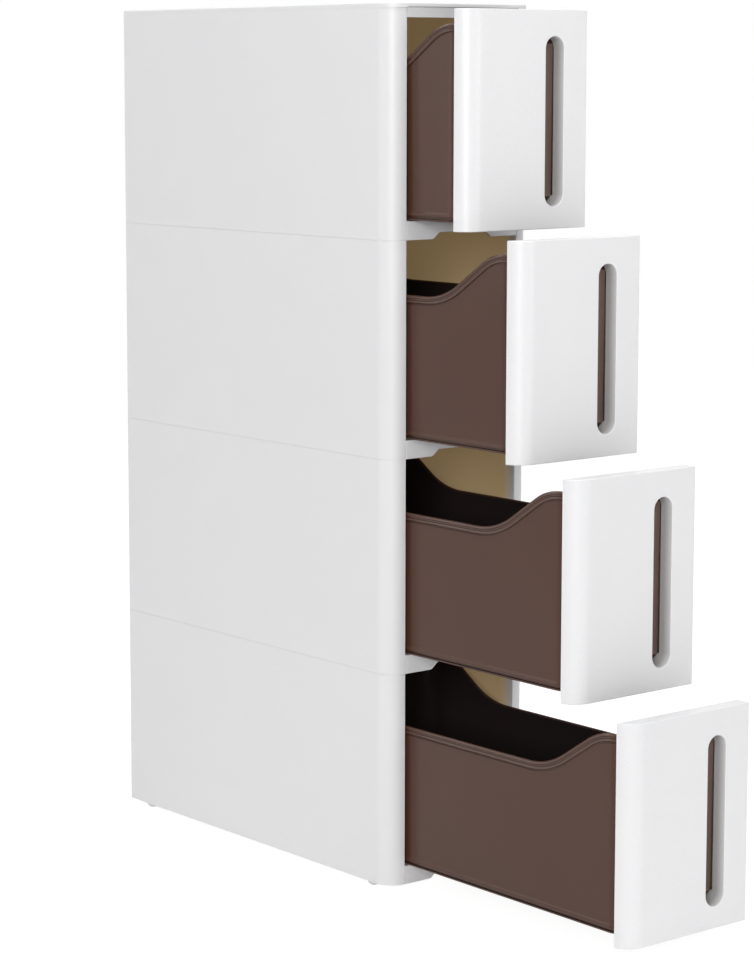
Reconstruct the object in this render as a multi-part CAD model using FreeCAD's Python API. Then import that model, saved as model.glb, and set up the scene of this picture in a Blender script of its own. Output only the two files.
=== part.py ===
import FreeCAD, Part
import math
import os

# Rolling drawer cart: a slim moulded cabinet of four stacked tiers, a pull-out
# drawer in each tier, four small wheels under its base. Sizes in millimetres.
# X points right as seen from the front, Y to the rear, Z up.
# The origin lies on the floor, under the middle of the cabinet.

# Cabinet shell
cabinet_width = 180.0
cabinet_depth = 440.0
tier_count = 4
tier_height = 208.5
wall = 2.5
front_corner_radius = 19.4
rear_corner_chamfer = 2.0
post_width = 20.5
post_depth = 19.5
post_edge_chamfer = 0.7
seam_gap = 0.3

# Back panels and the grooves that hold them
back_thickness = 2.0
back_edge_gap = 0.5
groove_lip = 9.0
groove_rib = 2.0
back_recess_depth = 0.8
back_recess_margin = 16.0

# Floor tray of a tier, with its arched front rail
rail_height = 18.0
floor_thickness = 2.5
skirt = 2.0
arch_shoulder = 33.0
arch_rise = 6.5
arch_run = 8.0
arch_radius = 4.5
runner_height = 0.7
runner_width = 3.0
runner_inset = 5.5
runner_end_margin = 6.0
stop_height = 1.9
stop_thickness = 3.0
stop_side_margin = 29.5
tray_rib_depth = 9.0
tray_rib_thickness = 1.6
tray_rib_count = 2

# Top cover
cover_lip = 5.3
cover_plate = 2.5
cover_wall = 3.0
cover_overhang = 1.5
cover_edge_chamfer = 1.4
header_height = 9.0
header_recess = 0.8
header_thickness = 2.5
header_end_gap = 0.3
lip_groove_height = 1.0
lip_groove_depth = 1.4
locating_rib = 2.0
locating_rib_height = 4.5
locating_margin = 25.0

# Wheels, each with its own stub axle, and their sockets
wheel_radius = 10.0
wheel_width = 8.0
wheel_rim = 1.7
wheel_web = 2.0
wheel_top_clearance = 0.5
wheel_end_distance = 32.0
hub_radius = 4.0
hub_clearance = 0.05
hub_end_margin = 0.3
socket_length = 6.0
socket_wall = 2.0

# Drawer body
tub_wall = 2.0
tub_floor = 2.0
tub_rear_clearance = 15.6
tub_foot_inset = 4.0
tub_foot_corner = 12.0
tub_foot_height = 2.5
shoulder_below_seam = 6.5
dip_drop = 45.0
tub_corner_radius = 20.0
tub_draft = 1.0
tub_side_clearance = 1.2
shoulder_length = 25.6
dip_slope_degrees = 33.0
dip_radius = 55.0
rim_proud = 1.2
rim_height = 8.0

# Drawer front
front_side_margin = 13.5
front_depth = 15.8
front_wall = 2.5
front_round_radius = 21.0
front_corner_chamfer = 1.2
front_above_seam = 11.3
front_overlap = 6.7
slot_width = 23.0
slot_low_margin = 20.9
slot_high_margin = 24.6
slot_side_margin = 41.5
slot_wall = 2.0
front_rib_thickness = 1.5
front_rib_depth = 9.0
front_rib_count = 1

# Hooks that hang the drawer front on the drawer body
hook_width = 28.0
hook_post_height = 8.0
hook_thickness = 2.5
hook_lip = 1.5
hook_lip_length = 2.0
hook_clearance = 0.3
hook_column_shares = [0.38]
hook_row_shares = [0.17, 0.82]

# Fits and running gaps
running_gap = 0.3
tub_to_front = 4.2
overrun = 2.0

# Travel: the length of drawer that stays inside when it is fully out, and how far
# each drawer stands out at rest, as a share of the travel, from the top one down
held_length = 76.0
shown_travel_shares = [0.215, 0.43, 0.65, 0.859]

# Places worked out from the sizes above
half_width = cabinet_width / 2
half_depth = cabinet_depth / 2
opening_half = half_width - post_width
inner_half = half_width - wall
back_front_y = half_depth - wall - back_thickness
rib_front_y = back_front_y - groove_rib
floor_gap = 2 * wheel_radius + wheel_top_clearance - (rail_height - floor_thickness)
stack_top = floor_gap + tier_count * tier_height
cover_seat = stack_top + header_height
cabinet_top = cover_seat + cover_lip
closed_front_y = -half_depth - running_gap - front_depth
tub_front_offset = front_depth + tub_to_front
tub_length = back_front_y - tub_rear_clearance - closed_front_y - tub_front_offset
drawer_travel = back_front_y - tub_rear_clearance + half_depth - held_length
tub_bottom = rail_height + runner_height + running_gap
tub_shoulder = tier_height - shoulder_below_seam
tub_half = opening_half - tub_side_clearance - rim_proud
front_half = half_width - front_side_margin
front_low = front_above_seam
front_high = tier_height + front_overlap
slot_x = front_half - slot_side_margin


def tier_base(tier):
    # Height of the seam under a tier; tier 1 is the top one.
    return floor_gap + (tier_count - tier) * tier_height


def rounded_wire(corners, place):
    # Closed outline through corners (a, b, radius); place turns (a, b) into a point.
    count = len(corners)
    starts = []
    middles = []
    ends = []
    for index in range(count):
        a, b, radius = corners[index]
        if radius == 0:
            starts.append((a, b))
            middles.append(None)
            ends.append((a, b))
            continue
        last_a, last_b, _ = corners[index - 1]
        next_a, next_b, _ = corners[(index + 1) % count]
        in_length = math.hypot(last_a - a, last_b - b)
        out_length = math.hypot(next_a - a, next_b - b)
        in_unit = ((last_a - a) / in_length, (last_b - b) / in_length)
        out_unit = ((next_a - a) / out_length, (next_b - b) / out_length)
        half_turn = math.acos(in_unit[0] * out_unit[0] + in_unit[1] * out_unit[1]) / 2
        reach = radius / math.tan(half_turn)
        centre_reach = radius / math.sin(half_turn)
        bisector = (in_unit[0] + out_unit[0], in_unit[1] + out_unit[1])
        bulge = (centre_reach - radius) / math.hypot(bisector[0], bisector[1])
        starts.append((a + in_unit[0] * reach, b + in_unit[1] * reach))
        middles.append((a + bisector[0] * bulge, b + bisector[1] * bulge))
        ends.append((a + out_unit[0] * reach, b + out_unit[1] * reach))
    edges = []
    for index in range(count):
        if middles[index]:
            points = [place(*starts[index]), place(*middles[index]), place(*ends[index])]
            edges.append(Part.Arc(*points).toShape())
        line_start = place(*ends[index])
        line_end = place(*starts[(index + 1) % count])
        if line_start.distanceToPoint(line_end) > Part.Vertex(line_start).Tolerance:
            edges.append(Part.makeLine(line_start, line_end))
    return Part.Wire(edges)


def plan_prism(corners, low, high):
    # Solid with an outline in X and Y, from height low to height high.
    face = Part.Face(rounded_wire(corners, lambda a, b: FreeCAD.Vector(a, b, low)))
    return face.extrude(FreeCAD.Vector(0, 0, high - low))


def front_prism(corners, near, far):
    # Solid with an outline in X and Z, from Y near to Y far.
    face = Part.Face(rounded_wire(corners, lambda a, b: FreeCAD.Vector(a, near, b)))
    return face.extrude(FreeCAD.Vector(0, far - near, 0))


def side_prism(corners, left, right):
    # Solid with an outline in Y and Z, from X left to X right.
    face = Part.Face(rounded_wire(corners, lambda a, b: FreeCAD.Vector(left, a, b)))
    return face.extrude(FreeCAD.Vector(right - left, 0, 0))


def block(x_low, x_high, y_low, y_high, z_low, z_high):
    corner = FreeCAD.Vector(x_low, y_low, z_low)
    return Part.makeBox(x_high - x_low, y_high - y_low, z_high - z_low, corner)


def side_block(side, out, inwards, y_low, y_high, z_low, z_high):
    # Block between two distances in from a side of the cabinet.
    reaches = sorted([side * (half_width - out), side * (half_width - inwards)])
    return block(reaches[0], reaches[1], y_low, y_high, z_low, z_high)


def cabinet_outline(inset, front_reach):
    # Plan of the whole cabinet, drawn in by inset, its front moved out by front_reach.
    x = half_width - inset
    front = -half_depth + inset - front_reach
    rear = half_depth - inset
    front_radius = max(front_corner_radius - inset, 0)
    cut = rear_corner_chamfer
    return [(-x, front, front_radius), (x, front, front_radius), (x, rear - cut, 0),
            (x - cut, rear, 0), (cut - x, rear, 0), (-x, rear - cut, 0)]


def tier_top(tier):
    # The walls of the top tier reach the cover; the others stop a hair under the next.
    if tier == 1:
        return cover_seat
    return tier_base(tier) + tier_height - seam_gap


def side_panel(tier, side):
    # Side wall of a tier: it turns round the front corner into a hollow post,
    # and at the rear it forms the groove that holds the back panel.
    rear = cabinet_depth
    groove_front = rear - wall - back_thickness
    rib_front = groove_front - groove_rib
    profile = [
        (0, 0, front_corner_radius),
        (post_width - post_edge_chamfer, 0, 0),
        (post_width, post_edge_chamfer, 0),
        (post_width, post_depth, 0),
        (post_width - wall, post_depth, 0),
        (post_width - wall, wall, 0),
        (wall, wall, post_width - 2 * wall),
        (wall, rib_front, 0),
        (groove_lip, rib_front, 0),
        (groove_lip, groove_front, 0),
        (wall, groove_front, 0),
        (wall, rear - wall, 0),
        (groove_lip, rear - wall, 0),
        (groove_lip, rear, 0),
        (rear_corner_chamfer, rear, 0),
        (0, rear - rear_corner_chamfer, 0),
    ]
    corners = [(side * (half_width - u), v - half_depth, r) for u, v, r in profile]
    return plan_prism(corners, tier_base(tier), tier_top(tier))


def tray_outline(inset):
    # Plan of a floor tray: narrow between the posts, wide behind them,
    # and notched round the ribs of the rear grooves.
    front = -half_depth + inset
    behind_post = -half_depth + post_depth + inset
    narrow = opening_half - inset
    wide = inner_half - inset
    rib_side = half_width - groove_lip - inset
    rear = back_front_y - inset
    notch = rib_front_y - inset
    right = [(narrow, front, 0), (narrow, behind_post, 0), (wide, behind_post, 0),
             (wide, notch, 0), (rib_side, notch, 0), (rib_side, rear, 0)]
    left = [(-x, y, r) for x, y, r in reversed(right)]
    return right + left


def rail_arch(low):
    # Shallow arch cut into the lower edge of the front rail.
    start = opening_half - arch_shoulder
    crown = low + arch_rise
    below = low - overrun
    right = [(start - arch_run, crown, arch_radius), (start, low, arch_radius),
             (opening_half, low, 0), (opening_half, below, 0)]
    left = [(-x, z, r) for x, z, r in reversed(right)]
    return front_prism(right + left, -half_depth - overrun, -half_depth + post_depth)


def stop_ridge_rear():
    # Rear face of the stop ridge: the drawer's rear foot meets it at full travel.
    rear_foot = closed_front_y + tub_front_offset + tub_length - tub_draft - tub_foot_inset
    return rear_foot - drawer_travel - running_gap


def floor_tray(tier):
    # Floor of a tier: a plate with a skirt turned down all round, runners for the
    # drawer's foot on top, a stop ridge, and stiffening ribs underneath.
    low = tier_base(tier)
    top = low + rail_height
    under = top - floor_thickness
    tray = plan_prism(tray_outline(0), low, top)
    tray = tray.cut(plan_prism(tray_outline(skirt), low - overrun, under))
    tray = tray.cut(rail_arch(low))
    runner_front = -half_depth + runner_end_margin
    runner_rear = back_front_y - runner_end_margin
    for side in (-1, 1):
        middle = side * (opening_half - runner_inset)
        tray = tray.fuse(block(middle - runner_width / 2, middle + runner_width / 2,
                               runner_front, runner_rear, under, top + runner_height))
    stop_half = opening_half - stop_side_margin
    stop_rear = stop_ridge_rear()
    tray = tray.fuse(block(-stop_half, stop_half, stop_rear - stop_thickness, stop_rear,
                           under, top + runner_height + stop_height))
    rib_low = under - tray_rib_depth
    rib_side = opening_half - arch_shoulder
    rib_front = -half_depth + post_depth
    for x in (-rib_side, rib_side):
        tray = tray.fuse(block(x - tray_rib_thickness / 2, x + tray_rib_thickness / 2,
                               rib_front, rib_front_y, rib_low, under))
    spacing = (rib_front_y - rib_front) / (tray_rib_count + 1)
    for number in range(1, tray_rib_count + 1):
        y = rib_front + number * spacing
        tray = tray.fuse(block(-inner_half, inner_half, y - tray_rib_thickness / 2,
                               y + tray_rib_thickness / 2, rib_low, under))
    if tier == tier_count:
        tray = add_wheel_sockets(tray, under)
    return tray.removeSplitter()


def wheel_places():
    # Name, side and Y of each wheel.
    reach = half_depth - wheel_end_distance
    return [("front_left", -1, -reach), ("front_right", 1, -reach),
            ("rear_left", -1, reach), ("rear_right", 1, reach)]


def wheel_stations():
    # Distances in from the cabinet's side: the tread's two faces, the socket's two faces.
    tread_outer = wall + skirt + running_gap
    tread_inner = tread_outer + wheel_width
    socket_outer = tread_inner + running_gap
    return tread_outer, tread_inner, socket_outer, socket_outer + socket_length


def add_wheel_sockets(tray, under):
    # A bored block behind each wheel takes its hub; the skirt keeps the wheel in.
    socket_outer, socket_inner = wheel_stations()[2:]
    half = hub_radius + hub_clearance + socket_wall
    for name, side, y in wheel_places():
        tray = tray.fuse(side_block(side, socket_outer, socket_inner, y - half, y + half,
                                    wheel_radius - half, under))
        start = FreeCAD.Vector(side * (half_width - socket_outer + overrun), y, wheel_radius)
        bore = Part.makeCylinder(hub_radius + hub_clearance, socket_length + 2 * overrun,
                                 start, FreeCAD.Vector(-side, 0, 0))
        tray = tray.cut(bore)
    return tray


def wheel(side, y):
    # Wheel turned about its axle line: a plain outer face, a tread ring and a deep
    # recess round the hub, which runs on inwards as a stub axle.
    tread_outer, tread_inner, socket_outer, socket_inner = wheel_stations()
    recess_radius = wheel_radius - wheel_rim
    web = tread_outer + wheel_web
    hub_end = socket_inner - hub_end_margin
    profile = [
        (tread_outer, 0, 0), (tread_outer, wheel_radius, 0), (tread_inner, wheel_radius, 0),
        (tread_inner, recess_radius, 0), (web, recess_radius, 0), (web, hub_radius, 0),
        (hub_end, hub_radius, 0), (hub_end, 0, 0),
    ]

    def place(inwards, radius):
        return FreeCAD.Vector(side * (half_width - inwards), y, wheel_radius + radius)

    face = Part.Face(rounded_wire(profile, place))
    return face.revolve(FreeCAD.Vector(0, y, wheel_radius), FreeCAD.Vector(1, 0, 0), 360)


def back_panel(tier):
    # Plain back of a tier, with a shallow recess outside, held in the side grooves.
    low = tier_base(tier)
    high = tier_top(tier)
    x = inner_half - back_edge_gap
    rear = back_front_y + back_thickness
    panel = block(-x, x, back_front_y, rear, low, high)
    recess_x = half_width - groove_lip - back_recess_margin
    return panel.cut(block(-recess_x, recess_x, rear - back_recess_depth, rear + overrun,
                           low + back_recess_margin, high - back_recess_margin))


def top_cover():
    # Cover with a bevelled top edge. Its header closes the front between the posts,
    # under a shadow groove, and its ribs sit inside the side panels.
    under = cabinet_top - cover_plate
    cover = plan_prism(cabinet_outline(0, cover_overhang), cover_seat, cabinet_top)
    top_edges = [edge for edge in cover.Edges
                 if edge.BoundBox.ZMin > cabinet_top - cover_lip / 2]
    cover = cover.makeChamfer(cover_edge_chamfer, top_edges)
    cover = cover.cut(plan_prism(cabinet_outline(cover_wall, 0), cover_seat - overrun, under))
    header_front = -half_depth + header_recess
    header_half = opening_half - header_end_gap
    cover = cover.fuse(block(-header_half, header_half, header_front,
                             header_front + header_thickness, stack_top, under))
    cover = cover.cut(block(-opening_half, opening_half, -half_depth - cover_overhang - overrun,
                            -half_depth + lip_groove_depth, cover_seat, cover_seat + lip_groove_height))
    for side in (-1, 1):
        cover = cover.fuse(side_block(side, wall, wall + locating_rib,
                                      -half_depth + post_depth + locating_margin,
                                      half_depth - locating_margin,
                                      cover_seat - locating_rib_height, under))
    return cover.removeSplitter()


def tub_place(tier):
    # Seam height of a drawer's tier, and where its front and rear walls stand.
    front = closed_front_y - drawer_travel * shown_travel_shares[tier - 1] + tub_front_offset
    return tier_base(tier), front, front + tub_length


def draft_at(height):
    # How far the drawer's walls draw in at a height above the seam.
    return tub_draft * (tub_shoulder - height) / (tub_shoulder - tub_bottom)


def tub_body(tier, grow, low, high):
    # Solid drawer shape between two heights above the seam, grown outwards by grow:
    # a tapered block, as wide and as long as its draft asks, with rounded corners.
    base, front, rear = tub_place(tier)
    low_half = tub_half - draft_at(low) + grow
    high_half = tub_half - draft_at(high) + grow
    low_reach = draft_at(low) - grow
    high_reach = draft_at(high) - grow
    width = [(-low_half, base + low, 0), (low_half, base + low, 0),
             (high_half, base + high, 0), (-high_half, base + high, 0)]
    length = [(front + low_reach, base + low, 0), (rear - low_reach, base + low, 0),
              (rear - high_reach, base + high, 0), (front + high_reach, base + high, 0)]
    body = front_prism(width, front - overrun, rear + overrun)
    body = body.common(side_prism(length, -half_width, half_width))
    upright = [edge for edge in body.Edges
               if edge.BoundBox.ZLength > max(edge.BoundBox.XLength, edge.BoundBox.YLength)]
    return body.makeFillet(tub_corner_radius + grow, upright)


def under_rim(tier, drop):
    # Everything below the drawer's rim line, lowered by drop: high shoulders
    # at both ends and a long dip between them.
    base, front, rear = tub_place(tier)
    shoulder = base + tub_shoulder - drop
    dip = shoulder - dip_drop
    slope_run = dip_drop / math.tan(math.radians(dip_slope_degrees))
    near = front + shoulder_length
    far = rear - shoulder_length
    corners = [
        (front - shoulder_length, base, 0), (front - shoulder_length, shoulder, 0),
        (near, shoulder, dip_radius), (near + slope_run, dip, dip_radius),
        (far - slope_run, dip, dip_radius), (far, shoulder, dip_radius),
        (rear + shoulder_length, shoulder, 0), (rear + shoulder_length, base, 0),
    ]
    return side_prism(corners, -half_width, half_width)


def hook_points(tier):
    # X and Z of the middle of each hook's post.
    columns = [-front_half + share * 2 * front_half for share in hook_column_shares]
    rows = [front_low + share * (front_high - front_low) for share in hook_row_shares]
    return [(x, tier_base(tier) + z) for x in columns for z in rows]


def foot_recess(tier):
    # Space under the drawer's floor, inside its foot, with cut corners.
    base, front, rear = tub_place(tier)
    half = tub_half - tub_draft - tub_foot_inset
    near = front + tub_draft + tub_foot_inset
    far = rear - tub_draft - tub_foot_inset
    cut = tub_foot_corner
    corners = [(-half, near + cut, 0), (cut - half, near, 0), (half - cut, near, 0), (half, near + cut, 0),
               (half, far - cut, 0), (half - cut, far, 0), (cut - half, far, 0), (-half, far - cut, 0)]
    return plan_prism(corners, base + tub_bottom - overrun, base + tub_bottom + tub_foot_height)


def drawer_tub(tier):
    # Open drawer body: drafted walls, rounded corners, a proud band along the
    # curved rim, a hollow foot and windows for the front's hooks.
    base, front, rear = tub_place(tier)
    tub = tub_body(tier, 0, tub_bottom, tub_shoulder)
    tub = tub.fuse(tub_body(tier, rim_proud, tub_bottom, tub_shoulder).cut(under_rim(tier, rim_height)))
    tub = tub.common(under_rim(tier, 0))
    inside_low = tub_bottom + tub_foot_height + tub_floor
    tub = tub.cut(tub_body(tier, -tub_wall, inside_low, tub_shoulder + overrun))
    tub = tub.cut(foot_recess(tier))
    for x, z in hook_points(tier):
        half = hook_width / 2 + hook_clearance
        low = z - hook_thickness / 2 - hook_lip - hook_clearance
        high = z + hook_thickness / 2 + hook_clearance
        tub = tub.cut(block(x - half, x + half, front - tub_wall, front + tub_draft + 2 * tub_wall, low, high))
    return tub.removeSplitter()


def front_plan(face_y, inset):
    # Plan of the drawer front: a broad round on its left edge, a bevelled right edge.
    rise = front_round_radius - front_depth
    undercut = front_round_radius - math.sqrt(front_round_radius ** 2 - rise ** 2)
    left = -front_half - undercut + inset
    right = front_half - inset
    near = face_y + inset
    far = face_y + front_round_radius + overrun
    small = front_corner_chamfer
    return [(left, near, front_round_radius - inset), (right - small, near, 0),
            (right, near + small, 0), (right, far, 0), (left, far, 0)]


def slot_outline(base, grow, radius):
    # Upright outline of the finger slot, grown all round, with rounded ends.
    half = slot_width / 2 + grow
    low = base + front_low + slot_low_margin - grow
    high = base + front_high - slot_high_margin + grow
    return [(slot_x - half, low, radius), (slot_x + half, low, radius),
            (slot_x + half, high, radius), (slot_x - half, high, radius)]


def drawer_front(tier):
    # Hollow moulded front with a deep finger slot, ribs and hanging hooks behind.
    base, tub_front, rear = tub_place(tier)
    face_y = tub_front - tub_front_offset
    back_y = face_y + front_depth
    inside = face_y + front_wall
    low = base + front_low
    high = base + front_high
    front = plan_prism(front_plan(face_y, 0), low, high)
    front = front.common(block(-cabinet_width, cabinet_width, face_y - overrun, back_y,
                               low - overrun, high + overrun))
    hollow = plan_prism(front_plan(face_y, front_wall), low + front_wall, high - front_wall)
    spacing = (high - low) / (front_rib_count + 1)
    for number in range(1, front_rib_count + 1):
        z = low + number * spacing
        hollow = hollow.cut(block(-front_half, front_half, face_y, inside + front_rib_depth,
                                  z - front_rib_thickness / 2, z + front_rib_thickness / 2))
    front = front.cut(hollow)
    tube_end = tub_front - running_gap
    front = front.fuse(front_prism(slot_outline(base, slot_wall, 0), face_y + front_wall / 2, tube_end))
    for x, z in hook_points(tier):
        post_end = tub_front + draft_at(z + hook_post_height / 2 - base)
        hook_end = post_end + tub_wall + hook_clearance + hook_lip_length
        left = x - hook_width / 2
        right = x + hook_width / 2
        front = front.fuse(block(left, right, inside - front_wall / 2, post_end,
                                 z - hook_post_height / 2, z + hook_post_height / 2))
        front = front.fuse(block(left, right, post_end - hook_thickness, hook_end,
                                 z - hook_thickness / 2, z + hook_thickness / 2))
        front = front.fuse(block(left, right, hook_end - hook_lip_length, hook_end,
                                 z - hook_thickness / 2 - hook_lip, z + hook_thickness / 2))
    slot = front_prism(slot_outline(base, 0, slot_width / 2), face_y - overrun, tube_end + overrun)
    return front.cut(slot).removeSplitter()


def save(shape, node):
    # One file for each named piece.
    shape.exportStep("parts/" + node + ".step")
    print(node, "volume", round(shape.Volume), "solids", len(shape.Solids), "valid", shape.isValid())


os.makedirs("parts", exist_ok=True)
for tier in range(1, tier_count + 1):
    save(side_panel(tier, -1), "side_left_" + str(tier))
    save(side_panel(tier, 1), "side_right_" + str(tier))
    save(back_panel(tier), "back_panel_" + str(tier))
    tray_name = "base_tray" if tier == tier_count else "floor_tray_" + str(tier)
    save(floor_tray(tier), tray_name)
    save(drawer_tub(tier), "drawer_tub_" + str(tier))
    save(drawer_front(tier), "drawer_front_" + str(tier))
save(top_cover(), "top_cover")
for name, side, y in wheel_places():
    save(wheel(side, y), "wheel_" + name)
print("overall height", cabinet_top, "travel", drawer_travel, "tub length", tub_length)
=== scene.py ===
import math

import bmesh
import bpy
from mathutils import Matrix, Quaternion, Vector


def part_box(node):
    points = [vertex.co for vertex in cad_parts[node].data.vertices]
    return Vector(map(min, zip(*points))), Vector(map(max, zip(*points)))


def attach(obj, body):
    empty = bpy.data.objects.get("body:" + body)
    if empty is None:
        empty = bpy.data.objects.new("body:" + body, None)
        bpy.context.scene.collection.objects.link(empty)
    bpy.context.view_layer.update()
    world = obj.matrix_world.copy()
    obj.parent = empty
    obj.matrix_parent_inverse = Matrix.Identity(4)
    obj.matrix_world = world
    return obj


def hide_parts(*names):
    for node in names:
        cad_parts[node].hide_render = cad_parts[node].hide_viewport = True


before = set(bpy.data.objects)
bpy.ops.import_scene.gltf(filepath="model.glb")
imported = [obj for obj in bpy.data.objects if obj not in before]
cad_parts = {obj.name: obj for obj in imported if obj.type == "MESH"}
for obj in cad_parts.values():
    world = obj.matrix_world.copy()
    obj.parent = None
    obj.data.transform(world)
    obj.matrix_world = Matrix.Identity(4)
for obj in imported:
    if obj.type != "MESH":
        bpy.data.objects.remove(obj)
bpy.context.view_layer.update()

mm = 0.001
tierCount = 4
print("frame loaded")


def inScene(name, data):
    # A new object that the scene holds
    thing = bpy.data.objects.new(name, data)
    bpy.context.scene.collection.objects.link(thing)
    return thing


def outwardFaces(mesh):
    # Every face's normal turned to the outside
    work = bmesh.new()
    work.from_mesh(mesh)
    bmesh.ops.recalc_face_normals(work, faces=work.faces)
    work.to_mesh(mesh)
    work.free()


def ringFaces(rows, count):
    # Four-sided faces between closed rows of points
    faces = []
    for row in range(rows - 1):
        for index in range(count):
            after = (index + 1) % count
            faces.append((row * count + index, row * count + after,
                          (row + 1) * count + after, (row + 1) * count + index))
    return faces


# The camera stands where the photograph's did, in the cart's own frame
cameraView = {
    "place": (-1.7717, -2.2381, 0.7856),
    "azimuth": 38.37,
    "elevation": -7.35,
    "roll": -0.066,
    "focalPixels": 2794.56,
    "centrePixel": (320.37, 435.32),
    "frameSize": (754, 960),
    "sensor": 36.0,
    "clip": (0.1, 50.0),
}


def makeCamera():
    data = bpy.data.cameras.new("studioCamera")
    camera = inScene("studioCamera", data)
    width, height = cameraView["frameSize"]
    data.sensor_fit = "VERTICAL"
    data.sensor_width = cameraView["sensor"]
    data.sensor_height = cameraView["sensor"]
    data.lens = cameraView["focalPixels"] / height * cameraView["sensor"]
    data.shift_x = (width / 2 - cameraView["centrePixel"][0]) / height
    data.shift_y = (cameraView["centrePixel"][1] - height / 2) / height
    data.clip_start, data.clip_end = cameraView["clip"]
    azimuth = math.radians(cameraView["azimuth"])
    elevation = math.radians(cameraView["elevation"])
    roll = math.radians(cameraView["roll"])
    forward = Vector((math.sin(azimuth) * math.cos(elevation),
                      math.cos(azimuth) * math.cos(elevation), math.sin(elevation)))
    right = Vector((math.cos(azimuth), -math.sin(azimuth), 0.0))
    up = right.cross(forward)
    rolledRight = right * math.cos(roll) + up * math.sin(roll)
    rolledUp = up * math.cos(roll) - right * math.sin(roll)
    turn = Matrix((rolledRight, rolledUp, -forward)).transposed()
    camera.matrix_world = Matrix.Translation(cameraView["place"]) @ turn.to_4x4()
    bpy.context.scene.camera = camera


makeCamera()
bpy.context.scene.view_settings.view_transform = "Standard"
print("camera made")

# Soft studio light, a white room and a white floor
studio = {
    "roomStrength": 0.25,
    "roomSeenStrength": 1.0,
    "lamps": {
        "keyLamp": {"place": (-4.1, -3.9, 1.9), "aim": (0.0, -0.1, 0.45), "size": 1.9, "power": 130.0},
        "fillLamp": {"place": (1.5, -3.5, 1.2), "aim": (0.0, -0.1, 0.45), "size": 1.8, "power": 22.0},
        "topLamp": {"place": (-0.2, -0.4, 2.9), "aim": (0.0, -0.2, 0.45), "size": 1.6, "power": 42.0},
        "sideLamp": {"place": (-2.14, 1.31, 1.03), "aim": (-0.08, -0.27, 1.03), "size": 1.1, "power": 4.2,
                     "roll": 6.0},
        "lowLamp": {"place": (-2.2, -3.0, 0.3), "aim": (0.0, -0.3, 0.3), "size": 1.0, "power": 9.0},
        "rearLamp": {"place": (-1.5, 2.6, 2.2), "aim": (0.0, -0.2, 0.6), "size": 0.9, "power": 4.0},
    },
    "floorColour": (0.86, 0.86, 0.86, 1.0),
    "floorSeenColour": (0.28, 0.28, 0.28, 1.0),
    "floorGlow": 0.93,
    "floorHalf": 6.0,
}


def whiteSeen(nodes, links):
    # One for the rays that show the white room itself
    path = nodes.new("ShaderNodeLightPath")
    seen = path.outputs["Is Camera Ray"]
    for kind in ("Is Glossy Ray", "Is Transmission Ray"):
        either = nodes.new("ShaderNodeMath")
        either.operation = "MAXIMUM"
        links.new(seen, either.inputs[0])
        links.new(path.outputs[kind], either.inputs[1])
        seen = either.outputs[0]
    return seen


def seenOrNot(nodes, links, plain, seen, output):
    # One shader for the rays that show the room, another for the rest
    mix = nodes.new("ShaderNodeMixShader")
    links.new(whiteSeen(nodes, links), mix.inputs[0])
    links.new(plain.outputs[0], mix.inputs[1])
    links.new(seen.outputs[0], mix.inputs[2])
    links.new(mix.outputs[0], output.inputs["Surface"])


def makeRoom():
    world = bpy.data.worlds.new("whiteRoom")
    bpy.context.scene.world = world
    world.use_nodes = True
    nodes = world.node_tree.nodes
    links = world.node_tree.links
    nodes.clear()
    output = nodes.new("ShaderNodeOutputWorld")
    backgrounds = []
    for strength in (studio["roomStrength"], studio["roomSeenStrength"]):
        background = nodes.new("ShaderNodeBackground")
        background.inputs["Strength"].default_value = strength
        background.inputs["Color"].default_value = (1.0, 1.0, 1.0, 1.0)
        backgrounds.append(background)
    seenOrNot(nodes, links, *backgrounds, output)


def makeFloor():
    half = studio["floorHalf"]
    mesh = bpy.data.meshes.new("studioFloor")
    corners = [(-half, -half, 0), (half, -half, 0), (half, half, 0), (-half, half, 0)]
    mesh.from_pydata(corners, [], [(0, 1, 2, 3)])
    floor = inScene("studioFloor", mesh)
    material = bpy.data.materials.new("paleFloor")
    material.use_nodes = True
    nodes = material.node_tree.nodes
    links = material.node_tree.links
    nodes.clear()
    output = nodes.new("ShaderNodeOutputMaterial")
    matt = nodes.new("ShaderNodeBsdfDiffuse")
    matt.inputs["Color"].default_value = studio["floorColour"]
    shaded = nodes.new("ShaderNodeBsdfDiffuse")
    shaded.inputs["Color"].default_value = studio["floorSeenColour"]
    glow = nodes.new("ShaderNodeEmission")
    glow.inputs["Strength"].default_value = studio["floorGlow"]
    seen = nodes.new("ShaderNodeAddShader")
    links.new(shaded.outputs[0], seen.inputs[0])
    links.new(glow.outputs[0], seen.inputs[1])
    seenOrNot(nodes, links, matt, seen, output)
    mesh.materials.append(material)


def makeLamps():
    for name, values in studio["lamps"].items():
        data = bpy.data.lights.new(name, "AREA")
        data.shape = "SQUARE"
        data.size = values["size"]
        data.energy = values["power"]
        lamp = inScene(name, data)
        place = Vector(values["place"])
        lamp.location = place
        lamp.rotation_mode = "QUATERNION"
        roll = Quaternion((0.0, 0.0, 1.0), math.radians(values.get("roll", 0.0)))
        lamp.rotation_quaternion = (Vector(values["aim"]) - place).to_track_quat("-Z", "Y") @ roll


makeRoom()
makeFloor()
makeLamps()
print("studio made")

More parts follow.
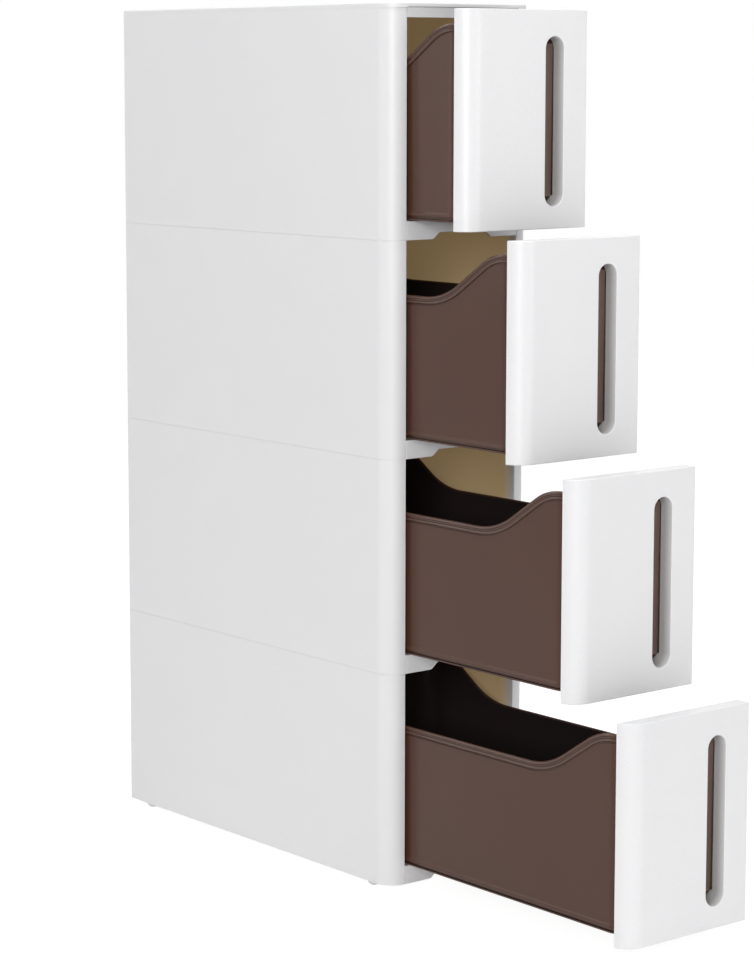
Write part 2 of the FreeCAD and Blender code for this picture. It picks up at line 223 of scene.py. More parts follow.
# Moulded plastic: a fine spark grain, slow waves in the sheet and a cloudy tone
mouldedLook = {
    "whiteShell": {
        # The shell's inner-face colour is painted warm shade, and its emitted colour a painted warm glow on those
        # faces
        "colour": (0.80, 0.80, 0.81), "shade": (0.786, 0.786, 0.796), "inside": (0.45, 0.35, 0.21),
        "throughLight": (0.117, 0.081, 0.04), "roughness": 0.33, "roughSpread": 0.04,
        "grainDepth": 0.03, "waveDepth": 0.06,
    },
    "whiteFront": {
        # The fronts' inner-face grey is painted shade in the finger slot, growing with depth
        "colour": (0.82, 0.82, 0.83), "shade": (0.806, 0.806, 0.816), "inside": (0.43, 0.43, 0.42),
        "insideDepth": 9.5 * mm, "roughness": 0.28, "roughSpread": 0.05,
        "grainDepth": 0.022, "waveDepth": 0.06,
    },
    "brownTub": {
        # The tub's inner-face colour is painted shade, near black inside the drawer
        "colour": (0.084, 0.038, 0.0252), "shade": (0.076, 0.033, 0.0217), "inside": (0.026, 0.019, 0.018),
        "specular": 0.25, "roughness": 0.18, "roughSpread": 0.04, "grainDepth": 0.035, "waveDepth": 0.1,
    },
    # The beads' brown is lighter than the tub's, though the same plastic: a painted highlight along the rim; their
    # inner-face colour is painted shade
    "brownRim": {
        "colour": (0.092, 0.045, 0.032), "shade": (0.083, 0.039, 0.027), "inside": (0.06, 0.03, 0.021),
        "specular": 0.36, "roughness": 0.16, "roughSpread": 0.04, "grainDepth": 0.03, "waveDepth": 0.05,
    },
    # Lighter than the tub's brown, though the same plastic: painted light on the pad seen through the slot
    "brownPad": {
        "colour": (0.26, 0.175, 0.15), "shade": (0.23, 0.155, 0.13),
        "specular": 0.3, "roughness": 0.3, "roughSpread": 0.05, "grainDepth": 0.06, "waveDepth": 0.1,
    },
    # A grey below the shell's white: painted shade for the wheels in the cart's shadow
    "whiteWheel": {
        "colour": (0.76, 0.76, 0.77), "shade": (0.72, 0.72, 0.73),
        "roughness": 0.35, "roughSpread": 0.05, "grainDepth": 0.05, "waveDepth": 0.05,
    },
}
# Values shared by all moulded surfaces; a noise is (detail, roughness)
mouldSurface = {
    "inputs": {"Grain Size": 0.6 * mm, "Wave Size": 50.0 * mm, "Grain Depth": 0.05, "Wave Depth": 0.1},
    "grainNoise": (2.0, 0.6),
    "waveNoise": (1.0, 0.4),
    "bumpDistance": 0.6 * mm,
    "bumpStrength": 0.35,
    "facingReach": 10.0 * mm,
}
# Where the painted warm shade and painted glow on the walls' inner faces start, are whole and end, in depth
paintedWarmDepth = {"start": 1.2 * mm, "whole": 16.0 * mm, "rearFade": 0.5 * mm}


def makeMouldGroup():
    # Height, cloud and gloss masks for a moulded surface, from Object coordinates
    group = bpy.data.node_groups.new("mouldedSurface", "ShaderNodeTree")
    face = group.interface
    for name, value in mouldSurface["inputs"].items():
        face.new_socket(name, in_out="INPUT", socket_type="NodeSocketFloat").default_value = value
    for name in ("Height", "Cloud", "Gloss"):
        face.new_socket(name, in_out="OUTPUT", socket_type="NodeSocketFloat")
    nodes = group.nodes
    links = group.links
    start = nodes.new("NodeGroupInput")
    end = nodes.new("NodeGroupOutput")
    place = nodes.new("ShaderNodeTexCoord")

    def inverse(name):
        node = nodes.new("ShaderNodeMath")
        node.operation = "DIVIDE"
        node.inputs[0].default_value = 1.0
        links.new(start.outputs[name], node.inputs[1])
        return node.outputs[0]

    def noise(scale, detail, roughness):
        node = nodes.new("ShaderNodeTexNoise")
        node.inputs["Detail"].default_value = detail
        node.inputs["Roughness"].default_value = roughness
        links.new(place.outputs["Object"], node.inputs["Vector"])
        links.new(scale, node.inputs["Scale"])
        return node.outputs["Fac"]

    grain = noise(inverse("Grain Size"), *mouldSurface["grainNoise"])
    wave = noise(inverse("Wave Size"), *mouldSurface["waveNoise"])

    def times(value, name):
        node = nodes.new("ShaderNodeMath")
        node.operation = "MULTIPLY"
        links.new(value, node.inputs[0])
        links.new(start.outputs[name], node.inputs[1])
        return node.outputs[0]

    total = nodes.new("ShaderNodeMath")
    total.operation = "ADD"
    links.new(times(grain, "Grain Depth"), total.inputs[0])
    links.new(times(wave, "Wave Depth"), total.inputs[1])
    links.new(total.outputs[0], end.inputs["Height"])
    links.new(wave, end.inputs["Cloud"])
    links.new(grain, end.inputs["Gloss"])
    return group


def makeInsideGroup():
    # One on faces that look towards a centre, zero on the rest; the weights pick the axes. It masks where painted
    # shade goes
    group = bpy.data.node_groups.new("insideFaces", "ShaderNodeTree")
    face = group.interface
    face.new_socket("Centre", in_out="INPUT", socket_type="NodeSocketVector")
    face.new_socket("Weights", in_out="INPUT", socket_type="NodeSocketVector")
    face.new_socket("Inside", in_out="OUTPUT", socket_type="NodeSocketFloat")
    nodes = group.nodes
    links = group.links
    start = nodes.new("NodeGroupInput")
    end = nodes.new("NodeGroupOutput")
    place = nodes.new("ShaderNodeTexCoord")
    surface = nodes.new("ShaderNodeNewGeometry")
    inward = nodes.new("ShaderNodeVectorMath")
    inward.operation = "SUBTRACT"
    links.new(start.outputs["Centre"], inward.inputs[0])
    links.new(place.outputs["Object"], inward.inputs[1])
    weighed = nodes.new("ShaderNodeVectorMath")
    weighed.operation = "MULTIPLY"
    links.new(inward.outputs[0], weighed.inputs[0])
    links.new(start.outputs["Weights"], weighed.inputs[1])
    facing = nodes.new("ShaderNodeVectorMath")
    facing.operation = "DOT_PRODUCT"
    links.new(weighed.outputs[0], facing.inputs[0])
    links.new(surface.outputs["True Normal"], facing.inputs[1])
    smooth = nodes.new("ShaderNodeMapRange")
    smooth.interpolation_type = "SMOOTHSTEP"
    smooth.inputs["From Min"].default_value = 0.0
    smooth.inputs["From Max"].default_value = mouldSurface["facingReach"]
    links.new(facing.outputs["Value"], smooth.inputs["Value"])
    links.new(smooth.outputs[0], end.inputs["Inside"])
    return group


mouldGroup = makeMouldGroup()
insideGroup = makeInsideGroup()


def grownWithDepth(nodes, links, share, start, end):
    # A mask that grows along Y from nothing at one place to its whole value at another
    place = nodes.new("ShaderNodeTexCoord")
    parts = nodes.new("ShaderNodeSeparateXYZ")
    links.new(place.outputs["Object"], parts.inputs[0])
    growth = nodes.new("ShaderNodeMapRange")
    growth.inputs["From Min"].default_value = start
    growth.inputs["From Max"].default_value = end
    links.new(parts.outputs["Y"], growth.inputs["Value"])
    both = nodes.new("ShaderNodeMath")
    both.operation = "MULTIPLY"
    links.new(share, both.inputs[0])
    links.new(growth.outputs[0], both.inputs[1])
    return both.outputs[0]


def mouldedMaterial(name, look, centre=None, weights=(1.0, 1.0, 1.0), depthLimits=None):
    values = mouldedLook[look]
    material = bpy.data.materials.new(name)
    material.use_nodes = True
    nodes = material.node_tree.nodes
    links = material.node_tree.links
    shader = nodes["Principled BSDF"]
    shader.inputs["Specular IOR Level"].default_value = values.get("specular", 0.5)
    mould = nodes.new("ShaderNodeGroup")
    mould.node_tree = mouldGroup
    mould.inputs["Grain Depth"].default_value = values["grainDepth"]
    mould.inputs["Wave Depth"].default_value = values["waveDepth"]
    tone = nodes.new("ShaderNodeMix")
    tone.data_type = "RGBA"
    tone.inputs["A"].default_value = (*values["colour"], 1.0)
    tone.inputs["B"].default_value = (*values["shade"], 1.0)
    links.new(mould.outputs["Cloud"], tone.inputs["Factor"])
    colour = tone.outputs["Result"]
    # Faces that look towards the centre take a painted shade colour instead of the plastic's own
    if centre is not None:
        inside = nodes.new("ShaderNodeGroup")
        inside.node_tree = insideGroup
        inside.inputs["Centre"].default_value = centre
        inside.inputs["Weights"].default_value = weights
        share = inside.outputs["Inside"]
        # The painted shade in the slot grows with depth
        if "insideDepth" in values:
            share = grownWithDepth(nodes, links, share, centre[1], centre[1] + values["insideDepth"])
        if depthLimits is not None:
            nearest, farthest = depthLimits
            share = grownWithDepth(nodes, links, share, nearest + paintedWarmDepth["start"], nearest + paintedWarmDepth["whole"])
            share = grownWithDepth(nodes, links, share, farthest, farthest - paintedWarmDepth["rearFade"])
        turn = nodes.new("ShaderNodeMix")
        turn.data_type = "RGBA"
        links.new(share, turn.inputs["Factor"])
        links.new(colour, turn.inputs["A"])
        turn.inputs["B"].default_value = (*values["inside"], 1.0)
        colour = turn.outputs["Result"]
        if "throughLight" in values:
            # A painted glow: the inner faces emit warm light, standing in for daylight that comes through the thin
            # walls
            paintedGlowMix = nodes.new("ShaderNodeMix")
            paintedGlowMix.data_type = "RGBA"
            links.new(share, paintedGlowMix.inputs["Factor"])
            paintedGlowMix.inputs["A"].default_value = (0.0, 0.0, 0.0, 1.0)
            paintedGlowMix.inputs["B"].default_value = (*values["throughLight"], 1.0)
            links.new(paintedGlowMix.outputs["Result"], shader.inputs["Emission Color"])
            shader.inputs["Emission Strength"].default_value = 1.0
    links.new(colour, shader.inputs["Base Color"])
    rough = nodes.new("ShaderNodeMapRange")
    rough.inputs["To Min"].default_value = values["roughness"] - values["roughSpread"]
    rough.inputs["To Max"].default_value = values["roughness"] + values["roughSpread"]
    links.new(mould.outputs["Gloss"], rough.inputs["Value"])
    links.new(rough.outputs[0], shader.inputs["Roughness"])
    bump = nodes.new("ShaderNodeBump")
    bump.inputs["Distance"].default_value = mouldSurface["bumpDistance"]
    bump.inputs["Strength"].default_value = mouldSurface["bumpStrength"]
    links.new(mould.outputs["Height"], bump.inputs["Height"])
    links.new(bump.outputs["Normal"], shader.inputs["Normal"])
    return material


print("materials made")


def pieceName(node):
    # side_left_1 gives sideLeft1Piece
    first, *others = node.split("_")
    return first + "".join(word.capitalize() for word in others) + "Piece"


def placePiece(name, mesh, material, body, nodes):
    # A finished piece at the world's origin that rides a body and stands for some CAD nodes
    piece = inScene(name, mesh)
    mesh.materials.clear()
    mesh.materials.append(material)
    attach(piece, body)
    if nodes:
        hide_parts(*nodes)


def evaluated(thing):
    # The plain mesh that an object's modifiers give
    bpy.context.view_layer.update()
    depsgraph = bpy.context.evaluated_depsgraph_get()
    return bpy.data.meshes.new_from_object(thing.evaluated_get(depsgraph), depsgraph=depsgraph)


# Edges that turn by more than "turn" degrees are rounded, and those under "flat" degrees dissolved
edgeRound = {"segments": 2, "turn": 28.0, "merge": 0.002 * mm, "flat": 0.4, "normalWeight": 90}


def roundedCopy(node, width, segments=edgeRound["segments"], shareAt=None):
    # A CAD node's shape with whole faces and its edges rounded, by a share of the
    # width that depends on where an edge's middle lies
    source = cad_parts[node]
    mesh = source.data.copy()
    mesh.transform(source.matrix_world)
    mesh.materials.clear()
    work = bmesh.new()
    work.from_mesh(mesh)
    bmesh.ops.remove_doubles(work, verts=work.verts, dist=edgeRound["merge"])
    bmesh.ops.dissolve_limit(work, angle_limit=math.radians(edgeRound["flat"]), verts=work.verts, edges=work.edges)
    weights = work.edges.layers.float.new("bevel_weight_edge")
    for edge in work.edges:
        if edge.is_manifold and edge.calc_face_angle() > math.radians(edgeRound["turn"]):
            ends = [vert.co for vert in edge.verts]
            edge[weights] = shareAt(*ends) if shareAt else 1.0
    work.to_mesh(mesh)
    work.free()
    blank = inScene("blank", mesh)
    for polygon in mesh.polygons:
        polygon.use_smooth = True
    rounding = blank.modifiers.new("edgeRound", "BEVEL")
    rounding.width = width
    rounding.segments = segments
    rounding.limit_method = "WEIGHT"
    rounding.use_clamp_overlap = shareAt is None
    even = blank.modifiers.new("evenNormals", "WEIGHTED_NORMAL")
    even.weight = edgeRound["normalWeight"]
    even.keep_sharp = True
    result = evaluated(blank)
    bpy.data.objects.remove(blank)
    result.name = node + "Rounded"
    return result


# The cabinet: walls, backs, floors and cover with rounded edges
cabinetLook = {
    "edges": {"side_": 0.16 * mm, "back_": 0.4 * mm, "floor_tray": 0.6 * mm, "base_tray": 0.6 * mm,
              "top_cover": 0.7 * mm},
    "seamClose": 0.2 * mm,
    "middle": (0.0, 0.02, 0.45),
}


def makeCabinet():
    depthLimits = (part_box("side_left_1")[0].y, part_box("back_panel_1")[0].y)
    # The side walls' inner faces get the painted warm shade and painted glow, from the front back to the rear
    # panel
    material = mouldedMaterial("whiteShell", "whiteShell", cabinetLook["middle"], (1.0, 0.0, 0.0), depthLimits)
    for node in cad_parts:
        widths = [width for start, width in cabinetLook["edges"].items() if node.startswith(start)]
        if not widths:
            continue
        width = widths[0]
        mesh = roundedCopy(node, width)
        if node.startswith("side_") and not node.endswith("_1"):
            # A lower wall's top meets the wall above, so the seam stays faint
            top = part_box(node)[1].z
            for vertex in mesh.vertices:
                if vertex.co.z > top - 2 * width:
                    vertex.co.z += cabinetLook["seamClose"]
        placePiece(pieceName(node), mesh, material, "cabinet", [node])


makeCabinet()
print("cabinet finished")

# Drawer fronts with rounded edges and a slot whose tube ends before the drawer's wall
frontLook = {
    "edge": 0.8 * mm,
    "segments": 4,
    "cornerShare": 0.6,
    "hiddenShare": 0.3,
    "cornerReach": 2.0 * mm,
    "near": 0.05 * mm,
    "tallEdge": 100.0 * mm,
    "slotPlace": 35.0 * mm,
    "slotReach": 15.0 * mm,
    "slotLevels": (30.0 * mm, 190.0 * mm),
    "tubeFrom": 12.0 * mm,
    "tubeCut": 5.2 * mm,
}


def makeFronts():
    for tier in range(1, tierCount + 1):
        node = "drawer_front_%d" % tier
        low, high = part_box(node)
        slotCentre = (frontLook["slotPlace"], low.y, (low.z + high.z) / 2)
        # The slot's inner walls get painted shade
        material = mouldedMaterial("whiteFront%d" % tier, "whiteFront", slotCentre, (1.0, 0.0, 1.0))

        def shareAt(start, end):
            # Full width on the outline and the slot's mouth, less at the bevelled corner and behind
            near = frontLook["near"]
            inFace = max(start.y, end.y) < low.y + near
            onOutline = min(start.z, end.z) > high.z - near or max(start.z, end.z) < low.z + near
            corner = min(start.x, end.x) > high.x - frontLook["cornerReach"]
            if corner and (inFace or onOutline or abs(start.z - end.z) > frontLook["tallEdge"]):
                return frontLook["cornerShare"]
            return 1.0 if inFace or onOutline else frontLook["hiddenShare"]

        mesh = roundedCopy(node, frontLook["edge"], frontLook["segments"], shareAt)
        for vertex in mesh.vertices:
            place = vertex.co
            inTube = abs(place.x - frontLook["slotPlace"]) < frontLook["slotReach"]
            lowest, highest = frontLook["slotLevels"]
            if inTube and lowest < place.z - low.z < highest and place.y > low.y + frontLook["tubeFrom"]:
                place.y -= frontLook["tubeCut"]
        placePiece(pieceName(node), mesh, material, "drawer_%d" % tier, [node])


makeFronts()
print("drawer fronts finished")

# Drawer bodies: an open box with a curved rim, and beads swept along it. A foot share is
# (how far out, how far up), a rim row (how far below the rim line, how far out); wall and
# inner shares lie between the foot and the rim's lowest line
tubShape = {
    "rimProud": 1.2 * mm,
    "wall": 2.0 * mm,
    "draft": 1.0 * mm,
    "frontCorner": 13.0 * mm,
    "rearCorner": 20.0 * mm,
    "cornerSteps": 14,
    "shoulderLength": 25.6 * mm,
    "dipDrop": 45.0 * mm,
    "slope": 33.0,
    "crestRadius": 62.0 * mm,
    "dipRadius": 85.0 * mm,
    "curvedLength": 135.0 * mm,
    "curveStep": 2.5 * mm,
    "plainStep": 14.0 * mm,
    "footInset": 4.0 * mm,
    "footHeight": 2.5 * mm,
    "footChamfer": 0.3 * mm,
    "floor": 2.0 * mm,
    "floorRound": 6.0 * mm,
    "floorSteps": 6,
    "footBand": 8.6 * mm,
    "footShares": ((-0.9, 0.0), (0.3, 0.03), (0.8, 0.1), (0.8, 0.22), (-1.0, 0.29), (-1.0, 0.46), (0.8, 0.52),
                   (1.0, 0.58), (1.0, 0.7), (0.6, 0.84), (0.15, 0.95), (0.0, 1.0)),
    "footProud": 1.0 * mm,
    "wallShares": (0.06, 0.12, 0.16, 0.4, 0.6),
    "padFromShare": 0.13,
    "padProud": 4.0 * mm,
    "padEdges": (47.0 * mm, 52.0 * mm),
    "padMargin": 0.1 * mm,
    "rimStart": 18.0 * mm,
    "rimRows": ((14.0 * mm, 0.0), (9.0 * mm, 0.0), (8.8 * mm, -0.9 * mm), (7.4 * mm, -0.9 * mm), (7.0 * mm, 0.0),
                (1.2 * mm, 0.0)),
    "innerRows": (1.2 * mm, 5.0 * mm, 14.0 * mm),
    "innerShares": (0.6, 0.3, 0.12),
    "sharpTurn": 40.0,
}
rimBead = {
    "Upper Width": 3.5 * mm,
    "Upper Height": 3.5 * mm,
    "Upper Round": 1.6 * mm,
    "Upper Middle": (-0.25 * mm, 1.75 * mm, 0.0),
    "Band Width": 1.4 * mm,
    "Band Height": 2.4 * mm,
    "Band Round": 0.2 * mm,
    "Band Middle": (-0.6 * mm, 3.9 * mm, 0.0),
    "Lower Width": 3.2 * mm,
    "Lower Height": 3.4 * mm,
    "Lower Round": 1.5 * mm,
    "Lower Middle": (-0.1 * mm, 5.9 * mm, 0.0),
}
beadSteps = 1


def rimDrop(along):
    # Drop of the rim below its shoulder, and its slope, at a distance from an end wall
    angle = math.radians(tubShape["slope"])
    upper = tubShape["crestRadius"]
    lower = tubShape["dipRadius"]
    upperReach = upper * math.tan(angle / 2)
    lowerReach = lower * math.tan(angle / 2)
    crest = tubShape["shoulderLength"]
    foot = crest + tubShape["dipDrop"] / math.tan(angle)
    if along <= crest - upperReach:
        return 0.0, 0.0
    if along <= crest + upperReach * math.cos(angle):
        run = along - (crest - upperReach)
        return upper - math.sqrt(upper ** 2 - run ** 2), math.asin(run / upper)
    if along <= foot - lowerReach * math.cos(angle):
        return (along - crest) * math.tan(angle), angle
    if along <= foot + lowerReach:
        run = foot + lowerReach - along
        return tubShape["dipDrop"] - (lower - math.sqrt(lower ** 2 - run ** 2)), math.asin(run / lower)
    return tubShape["dipDrop"], 0.0


def tubStations(half, front, rear):
    # Round the drawer, seen from above anticlockwise: inner centre, outward way,
    # corner radius, rim drop and lean of the rim line
    near = tubShape["frontCorner"]
    far = tubShape["rearCorner"]
    length = rear - front
    distances = []
    along = near
    while along < length - far:
        distances.append(along)
        nearest = min(along, length - along)
        along += tubShape["curveStep"] if nearest < tubShape["curvedLength"] else tubShape["plainStep"]
    distances.append(length - far)
    stations = []

    def add(centre, way, radius, y):
        nearest = min(y - front, rear - y)
        drop, lean = rimDrop(max(nearest, 0.0))
        if rear - y < y - front:
            lean = -lean
        stations.append((centre, way, radius, drop, lean))

    inner, outer = tubShape["padEdges"]
    for x in (-outer, -inner, inner, outer):
        add((x, front + near), (0.0, -1.0), near, front)
    steps = tubShape["cornerSteps"]
    corners = [(half - near, front + near, near, -90.0), (half - far, rear - far, far, 0.0),
               (far - half, rear - far, far, 90.0), (near - half, front + near, near, 180.0)]
    for index, (x, y, radius, start) in enumerate(corners):
        for step in range(steps + 1):
            turn = math.radians(start + 90.0 * step / steps)
            way = (math.cos(turn), math.sin(turn))
            add((x, y), way, radius, y + radius * way[1])
        if index == 0:
            for distance in distances[1:-1]:
                add((half - near, front + distance), (1.0, 0.0), near, front + distance)
        if index == 2:
            for distance in reversed(distances[1:-1]):
                add((near - half, front + distance), (-1.0, 0.0), near, front + distance)
    return stations


def tubPoint(station, grow, below, shoulder):
    # A point on the wall: how far out of its face, how far below the rim line
    centre, way, radius, drop, lean = station
    reach = radius + grow
    sideShare = abs(way[0])
    return (centre[0] + way[0] * reach,
            centre[1] + way[1] * reach - below * math.sin(lean) * sideShare,
            shoulder - drop - below * (1 + (math.cos(lean) - 1) * sideShare))


def lowPoint(station, grow, height):
    centre, way, radius, drop, lean = station
    reach = radius + grow
    return (centre[0] + way[0] * reach, centre[1] + way[1] * reach, height)


def makeTubMesh(name, half, front, rear, low, shoulder):
    shape = tubShape
    stations = tubStations(half, front, rear)
    draft = shape["draft"]
    wall = shape["wall"]
    straight = shoulder - shape["dipDrop"] - low

    def drawnIn(height):
        return -draft * (shoulder - height) / (shoulder - low)

    def padded(station):
        # The end wall comes forward behind the finger slot
        centre, way = station[:2]
        atPad = way == (0.0, -1.0) and abs(centre[0]) < shape["padEdges"][0] + shape["padMargin"]
        return shape["padProud"] if atPad else 0.0

    def underRim(station, below, grow):
        return tubPoint(station, drawnIn(shoulder - station[3] - below) + grow, below, shoulder)

    # Up the outside from the recess under the foot
    inset = -draft - shape["footInset"]
    chamfer = shape["footChamfer"]
    rows = []
    for grow, height in ((inset, shape["footHeight"]), (inset, chamfer), (inset + chamfer, 0.0)):
        rows.append([lowPoint(station, grow, low + height) for station in stations])
    for outShare, upShare in shape["footShares"]:
        height = low + shape["footBand"] * upShare
        rows.append([lowPoint(station, drawnIn(height) + shape["footProud"] * outShare, height)
                     for station in stations])
    for share in shape["wallShares"]:
        height = low + straight * share
        besidePad = share > shape["padFromShare"]
        rows.append([lowPoint(station, drawnIn(height) + (padded(station) if besidePad else 0.0), height)
                     for station in stations])
    rows.append([underRim(station, shape["rimStart"], padded(station)) for station in stations])
    for below, grow in shape["rimRows"]:
        rows.append([underRim(station, below, grow) for station in stations])
    # Down the inside to the floor
    for below in shape["innerRows"]:
        rows.append([underRim(station, below, -wall) for station in stations])
    for share in shape["innerShares"]:
        height = low + straight * share
        rows.append([lowPoint(station, drawnIn(height) - wall, height) for station in stations])
    curve = shape["floorRound"]
    insideFloor = low + shape["footHeight"] + shape["floor"]
    for step in range(shape["floorSteps"] + 1):
        turn = math.radians(90.0 * step / shape["floorSteps"])
        height = insideFloor + curve * (1 - math.sin(turn))
        grow = drawnIn(height) - wall - curve * (1 - math.cos(turn))
        rows.append([lowPoint(station, grow, height) for station in stations])
    count = len(stations)
    faces = ringFaces(len(rows), count)
    faces.append(tuple(range(count - 1, -1, -1)))
    faces.append(tuple((len(rows) - 1) * count + index for index in range(count)))
    mesh = bpy.data.meshes.new(name)
    mesh.from_pydata([point for row in rows for point in row], [], faces)
    mesh.validate()
    outwardFaces(mesh)
    for polygon in mesh.polygons:
        polygon.use_smooth = True
    mesh.set_sharp_from_angle(angle=math.radians(shape["sharpTurn"]))
    return mesh, stations


def makeBeadTree():
    # Three rounded strips swept along a closed path, upright wherever the path slopes
    tree = bpy.data.node_groups.new("rimBeads", "GeometryNodeTree")
    face = tree.interface
    face.new_socket("Geometry", in_out="INPUT", socket_type="NodeSocketGeometry")
    for name, value in rimBead.items():
        kind = "NodeSocketVector" if isinstance(value, tuple) else "NodeSocketFloat"
        face.new_socket(name, in_out="INPUT", socket_type=kind).default_value = value
    face.new_socket("Material", in_out="INPUT", socket_type="NodeSocketMaterial")
    face.new_socket("Geometry", in_out="OUTPUT", socket_type="NodeSocketGeometry")
    nodes = tree.nodes
    links = tree.links
    start = nodes.new("NodeGroupInput")
    end = nodes.new("NodeGroupOutput")
    path = nodes.new("GeometryNodeMeshToCurve")
    links.new(start.outputs["Geometry"], path.inputs["Mesh"])
    upright = nodes.new("GeometryNodeSetCurveNormal")
    upright.mode = "Z_UP"
    links.new(path.outputs["Curve"], upright.inputs["Curve"])
    strips = nodes.new("GeometryNodeJoinGeometry")
    for part in ("Upper", "Band", "Lower"):
        outline = nodes.new("GeometryNodeCurvePrimitiveQuadrilateral")
        links.new(start.outputs[part + " Width"], outline.inputs["Width"])
        links.new(start.outputs[part + " Height"], outline.inputs["Height"])
        soft = nodes.new("GeometryNodeFilletCurve")
        soft.inputs["Limit Radius"].default_value = True
        soft.mode = "POLY"
        soft.inputs["Count"].default_value = beadSteps
        links.new(outline.outputs["Curve"], soft.inputs["Curve"])
        links.new(start.outputs[part + " Round"], soft.inputs["Radius"])
        moved = nodes.new("GeometryNodeTransform")
        links.new(soft.outputs["Curve"], moved.inputs["Geometry"])
        links.new(start.outputs[part + " Middle"], moved.inputs["Translation"])
        links.new(moved.outputs["Geometry"], strips.inputs["Geometry"])
    sweep = nodes.new("GeometryNodeCurveToMesh")
    links.new(upright.outputs["Curve"], sweep.inputs["Curve"])
    links.new(strips.outputs["Geometry"], sweep.inputs["Profile Curve"])
    smooth = nodes.new("GeometryNodeSetShadeSmooth")
    links.new(sweep.outputs["Mesh"], smooth.inputs["Geometry"])
    whole = nodes.new("GeometryNodeRealizeInstances")
    links.new(smooth.outputs["Geometry"], whole.inputs["Geometry"])
    painted = nodes.new("GeometryNodeSetMaterial")
    links.new(whole.outputs["Geometry"], painted.inputs["Geometry"])
    links.new(start.outputs["Material"], painted.inputs["Material"])
    links.new(painted.outputs["Geometry"], end.inputs["Geometry"])
    return tree


def setInputs(modifier, tree, values):
    for item in tree.interface.items_tree:
        if item.item_type == "SOCKET" and item.in_out == "INPUT" and item.name in values:
            modifier[item.identifier] = values[item.name]


beadTree = makeBeadTree()


def makeBead(name, stations, shoulder, material):
    path = [tubPoint(station, 0.0, 0.0, shoulder) for station in stations]
    mesh = bpy.data.meshes.new(name)
    mesh.from_pydata(path, [(index, (index + 1) % len(path)) for index in range(len(path))], [])
    blank = inScene(name + "Path", mesh)
    sweep = blank.modifiers.new("rimBeads", "NODES")
    sweep.node_group = beadTree
    setInputs(sweep, beadTree, {**rimBead, "Material": material})
    result = evaluated(blank)
    bpy.data.objects.remove(blank)
    result.name = name
    outwardFaces(result)
    return result


def makeTubs():
    for tier in range(1, tierCount + 1):
        node = "drawer_tub_%d" % tier
        low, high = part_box(node)
        proud = tubShape["rimProud"]
        half = (high.x - low.x) / 2 - proud
        front = low.y + proud
        rear = high.y - proud
        middle = (0.0, (front + rear) / 2, (low.z + high.z) / 2)
        # The tub's inner faces get painted shade
        material = mouldedMaterial("brownTub%d" % tier, "brownTub", centre=middle)
        mesh, stations = makeTubMesh("tubWalls%d" % tier, half, front, rear, low.z, high.z)
        body = "drawer_%d" % tier
        placePiece(pieceName(node), mesh, material, body, [node])
        # The pad behind the slot gets the lighter brown, painted light
        mesh.materials.append(mouldedMaterial("brownPad%d" % tier, "brownPad"))
        for polygon in mesh.polygons:
            if polygon.center.y < front - tubShape["padProud"] / 2:
                polygon.material_index = 1
        # The beads get the lighter brown, a painted highlight, with painted shade on their inner faces
        rim = mouldedMaterial("brownRim%d" % tier, "brownRim", centre=middle)
        bead = makeBead("rimBead%d" % tier, stations, high.z, rim)
        placePiece("rimBead%dPiece" % tier, bead, rim, body, [])


makeTubs()
print("drawer bodies finished")

# Wheels: a turned ring, web and stepped hub, with ribs between hub and ring
wheelShape = {
    "radius": 10.0 * mm,
    "face": 1.8 * mm,
    "edge": 0.6 * mm,
    "edgeMiddle": 0.3,
    "rim": 1.7 * mm,
    "web": 2.0 * mm,
    "hubRadius": 4.7 * mm,
    "hubStep": 1.0 * mm,
    "axleRadius": 4.0 * mm,
    "width": 8.0 * mm,
    "bevel": 0.2 * mm,
    "axleBevel": 0.3 * mm,
    "turnSteps": 64,
    "sharpTurn": 35.0,
}
wheelRibs = {
    "Rib Count": 6,
    "Rib Length": 4.2 * mm,
    "Rib Thickness": 0.9 * mm,
    "Rib Depth": 4.6 * mm,
    "Rib Middle": 6.3 * mm,
}
ribSunk = 0.2 * mm


def turnedMesh(name, profile, place, side, steps):
    # Profile points are (distance in from the tread's outer face, radius)
    points = []
    for inwards, radius in profile:
        for step in range(steps):
            turn = 2 * math.pi * step / steps
            points.append((place[0] - side * inwards, place[1] + radius * math.cos(turn),
                           place[2] + radius * math.sin(turn)))
    faces = ringFaces(len(profile), steps)
    faces.append(tuple(range(steps)))
    faces.append(tuple((len(profile) - 1) * steps + step for step in range(steps)))
    mesh = bpy.data.meshes.new(name)
    mesh.from_pydata(points, [], faces)
    outwardFaces(mesh)
    return mesh


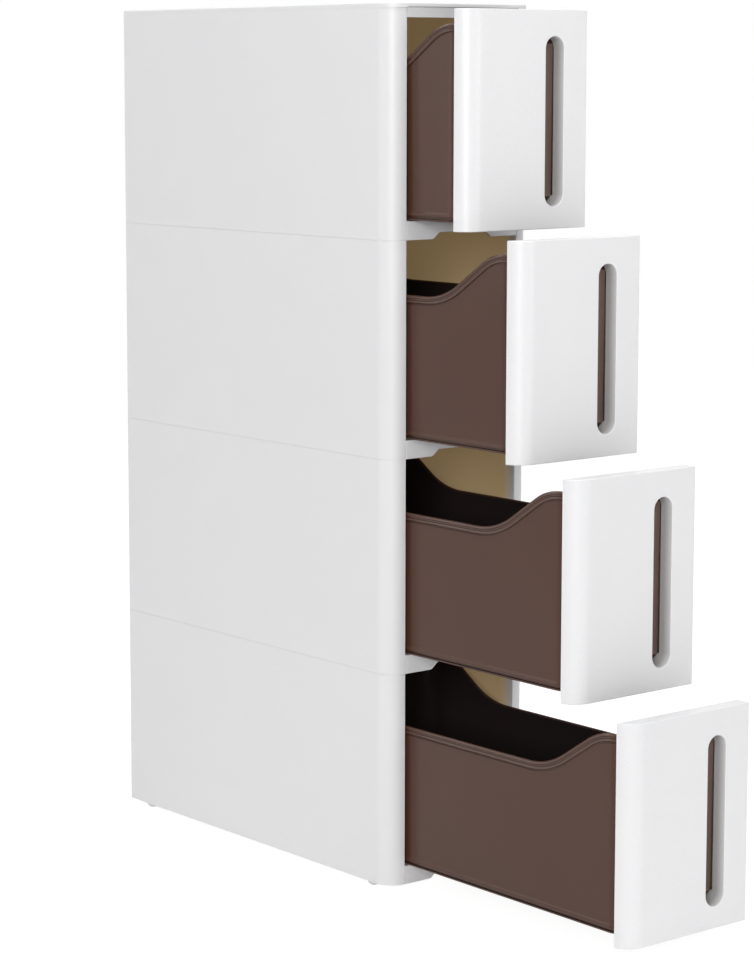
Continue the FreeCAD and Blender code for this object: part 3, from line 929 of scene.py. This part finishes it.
def makeRibTree():
    # Ribs set round a wheel's axle line, added to the turned wheel
    tree = bpy.data.node_groups.new("ribbedWheel", "GeometryNodeTree")
    face = tree.interface
    face.new_socket("Geometry", in_out="INPUT", socket_type="NodeSocketGeometry")
    for name, value in wheelRibs.items():
        kind = "NodeSocketInt" if isinstance(value, int) else "NodeSocketFloat"
        face.new_socket(name, in_out="INPUT", socket_type=kind).default_value = value
    face.new_socket("Place", in_out="INPUT", socket_type="NodeSocketVector")
    face.new_socket("Material", in_out="INPUT", socket_type="NodeSocketMaterial")
    face.new_socket("Geometry", in_out="OUTPUT", socket_type="NodeSocketGeometry")
    nodes = tree.nodes
    links = tree.links
    start = nodes.new("NodeGroupInput")
    end = nodes.new("NodeGroupOutput")
    ring = nodes.new("GeometryNodeMeshCircle")
    links.new(start.outputs["Rib Count"], ring.inputs["Vertices"])
    links.new(start.outputs["Rib Middle"], ring.inputs["Radius"])
    size = nodes.new("ShaderNodeCombineXYZ")
    links.new(start.outputs["Rib Length"], size.inputs["X"])
    links.new(start.outputs["Rib Thickness"], size.inputs["Y"])
    links.new(start.outputs["Rib Depth"], size.inputs["Z"])
    rib = nodes.new("GeometryNodeMeshCube")
    links.new(size.outputs["Vector"], rib.inputs["Size"])
    place = nodes.new("GeometryNodeInputPosition")
    turn = nodes.new("FunctionNodeAlignRotationToVector")
    turn.axis = "X"
    links.new(place.outputs["Position"], turn.inputs["Vector"])
    ribs = nodes.new("GeometryNodeInstanceOnPoints")
    links.new(ring.outputs["Mesh"], ribs.inputs["Points"])
    links.new(rib.outputs["Mesh"], ribs.inputs["Instance"])
    links.new(turn.outputs["Rotation"], ribs.inputs["Rotation"])
    upright = nodes.new("GeometryNodeTransform")
    upright.inputs["Rotation"].default_value = (0.0, math.pi / 2, 0.0)
    links.new(ribs.outputs["Instances"], upright.inputs["Geometry"])
    links.new(start.outputs["Place"], upright.inputs["Translation"])
    both = nodes.new("GeometryNodeJoinGeometry")
    links.new(start.outputs["Geometry"], both.inputs["Geometry"])
    links.new(upright.outputs["Geometry"], both.inputs["Geometry"])
    whole = nodes.new("GeometryNodeRealizeInstances")
    links.new(both.outputs["Geometry"], whole.inputs["Geometry"])
    painted = nodes.new("GeometryNodeSetMaterial")
    links.new(whole.outputs["Geometry"], painted.inputs["Geometry"])
    links.new(start.outputs["Material"], painted.inputs["Material"])
    links.new(painted.outputs["Geometry"], end.inputs["Geometry"])
    return tree


def wheelProfile(length):
    # From the tread's outer face round the tread, along the web and out to the axle's end
    shape = wheelShape
    radius, edge, width = shape["radius"], shape["edge"], shape["width"]
    bevel, axleBevel = shape["bevel"], shape["axleBevel"]
    middle = shape["edgeMiddle"] * edge
    rim = radius - shape["rim"]
    step = width - shape["hubStep"]
    return [
        (0.0, radius - shape["face"]), (0.0, radius - edge), (middle, radius - middle), (edge, radius),
        (width - edge, radius), (width - middle, radius - middle), (width, radius - edge),
        (width, rim + bevel), (width - bevel, rim), (shape["web"], rim - axleBevel),
        (shape["web"], shape["hubRadius"] + bevel), (step, shape["hubRadius"]), (step, shape["axleRadius"]),
        (length - axleBevel, shape["axleRadius"]), (length, shape["axleRadius"] - axleBevel),
    ]


def makeWheels():
    tree = makeRibTree()
    # The wheels' darkened white is painted shade
    material = mouldedMaterial("whiteWheel", "whiteWheel")
    for node in ("wheel_front_left", "wheel_front_right", "wheel_rear_left", "wheel_rear_right"):
        low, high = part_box(node)
        side = 1 if high.x > 0 else -1
        outer = high.x if side > 0 else low.x
        place = (outer, (low.y + high.y) / 2, (low.z + high.z) / 2)
        mesh = turnedMesh("wheelTurned", wheelProfile(high.x - low.x), place, side, wheelShape["turnSteps"])
        for polygon in mesh.polygons:
            polygon.use_smooth = True
        mesh.set_sharp_from_angle(angle=math.radians(wheelShape["sharpTurn"]))
        blank = inScene("wheelBlank", mesh)
        ribbed = blank.modifiers.new("ribbedWheel", "NODES")
        ribbed.node_group = tree
        inwards = wheelShape["web"] + wheelRibs["Rib Depth"] / 2 - ribSunk
        middle = (outer - side * inwards, place[1], place[2])
        setInputs(ribbed, tree, {**wheelRibs, "Place": middle, "Material": material})
        result = evaluated(blank)
        bpy.data.objects.remove(blank)
        placePiece(pieceName(node), result, material, node, [node])


makeWheels()
print("wheels finished")
